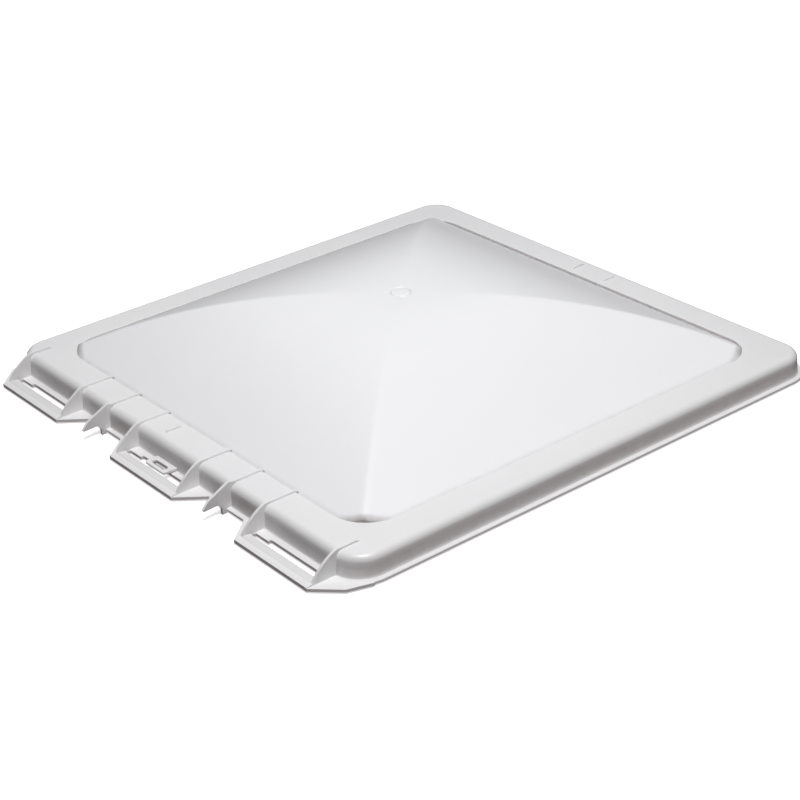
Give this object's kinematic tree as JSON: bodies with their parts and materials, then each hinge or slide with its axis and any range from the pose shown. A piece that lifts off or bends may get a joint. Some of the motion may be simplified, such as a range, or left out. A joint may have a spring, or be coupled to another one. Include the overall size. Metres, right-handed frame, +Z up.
{
  "type": "roof vent cover",
  "caption": "Square domed roof vent lid with a flanged rim, slide-on hinge loops with a latch tongue, a foam seal and a lift track with a roller trolley.",
  "frame": {"origin": "middle of the vent opening, in the plane of the flange's underside", "axes": "+Z up out of the roof; hinge edge faces -Y; the lid slides on to its base's hinge along X"},
  "size_m": [0.394, 0.4117, 0.0609],
  "materials": {
    "lid_plastic": "satin white injection-moulded plastic",
    "foam": "closed-cell foam strip",
    "zinc_sheet": "zinc-plated folded sheet",
    "screw_steel": "plated screw",
    "axle_steel": "turned steel pin",
    "clip_steel": "dark spring steel",
    "plug_plastic": "black moulded nylon",
    "roller_plastic": "natural nylon",
    "yoke_metal": "cast and tumbled",
    "bush_bronze": "sintered bronze"
  },
  "bodies": {
    "lid": {"dome_panel": "lid_plastic", "rim_frame": "lid_plastic", "hinge_loop_left": "lid_plastic", "hinge_loop_middle": "lid_plastic", "hinge_loop_right": "lid_plastic", "slide_stop_left": "lid_plastic", "slide_stop_right": "lid_plastic", "seal_front": "foam", "seal_back": "foam", "seal_left": "foam", "seal_right": "foam", "lift_track": "zinc_sheet", "track_screws": "screw_steel", "track_plug_front": "plug_plastic", "track_plug_back": "plug_plastic"},
    "latch": {"latch_tongue": "lid_plastic"},
    "trolley": {"trolley_axle": "axle_steel", "axle_clips": "clip_steel", "axle_spacers": "roller_plastic"},
    "roller_left": {"roller_left": "roller_plastic"},
    "roller_right": {"roller_right": "roller_plastic"},
    "yoke": {"lift_yoke": "yoke_metal", "yoke_bushing": "bush_bronze"}
  },
  "joints": [
    {"name": "latch_tongue_flex", "type": "hinge", "parent": "lid", "child": "latch", "pos_m": [0, -0.19429, 0.0036], "axis": [-1, 0, 0], "range_deg": [-5, 14], "stiffness_Nm_per_rad": 0.2},
    {"name": "trolley_slide", "type": "slide", "parent": "lid", "child": "trolley", "axis": [0, 1, 0], "range_m": [-0.053, 0.053]},
    {"name": "roller_left_spin", "type": "hinge", "parent": "trolley", "child": "roller_left", "pos_m": [-0.0079, 0, 0.03904], "axis": [1, 0, 0], "range_deg": [-730, 730]},
    {"name": "roller_right_spin", "type": "hinge", "parent": "trolley", "child": "roller_right", "pos_m": [0.0079, 0, 0.03904], "axis": [1, 0, 0], "range_deg": [-730, 730]},
    {"name": "yoke_swing", "type": "hinge", "parent": "trolley", "child": "yoke", "pos_m": [0, 0, 0.03904], "axis": [1, 0, 0], "range_deg": [-60, 60]}
  ],
  "couplings": [
    {"joint": "roller_left_spin", "follows": "trolley_slide", "rad_per_m": -238.1},
    {"joint": "roller_right_spin", "follows": "trolley_slide", "rad_per_m": -238.1}
  ]
}
